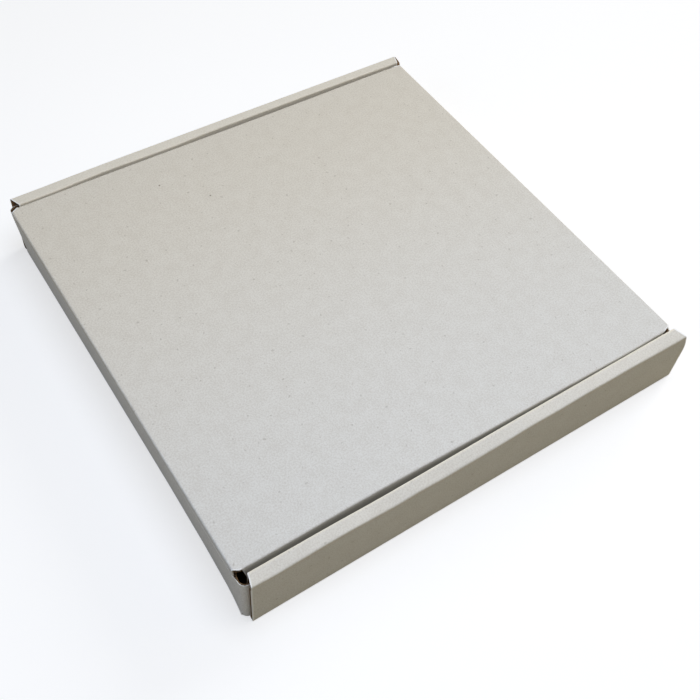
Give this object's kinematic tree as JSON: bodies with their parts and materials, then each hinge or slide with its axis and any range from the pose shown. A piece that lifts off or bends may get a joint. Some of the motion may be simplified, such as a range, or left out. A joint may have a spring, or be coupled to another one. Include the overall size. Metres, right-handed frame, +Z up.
{
  "type": "flat mailer box",
  "caption": "Flat roll-end mailer box of thin white-topped corrugated board, with rolled side rims, dust flaps, locking tabs, and a hinged lid with side ears and a front tuck flap.",
  "frame": {"origin": "middle of the footprint, on the surface that the box stands on", "axes": "+Z up, X across the two rolled ends, the tuck front faces -Y and the hinge wall faces +Y"},
  "size_m": [0.2058, 0.2074, 0.0306],
  "materials": {
    "tray_board": "matte white-topped liner, brown liner and flutes inside",
    "lid_board": "matte white-topped liner, brown liner and flutes inside"
  },
  "bodies": {
    "tray": {"tray": "tray_board"},
    "lid": {"lid": "lid_board"}
  },
  "joints": [
    {"name": "lid_hinge", "type": "hinge", "parent": "tray", "child": "lid", "pos_m": [0, 0.10375, 0.0291], "axis": [-1, 0, 0], "range_deg": [0, 187]}
  ]
}
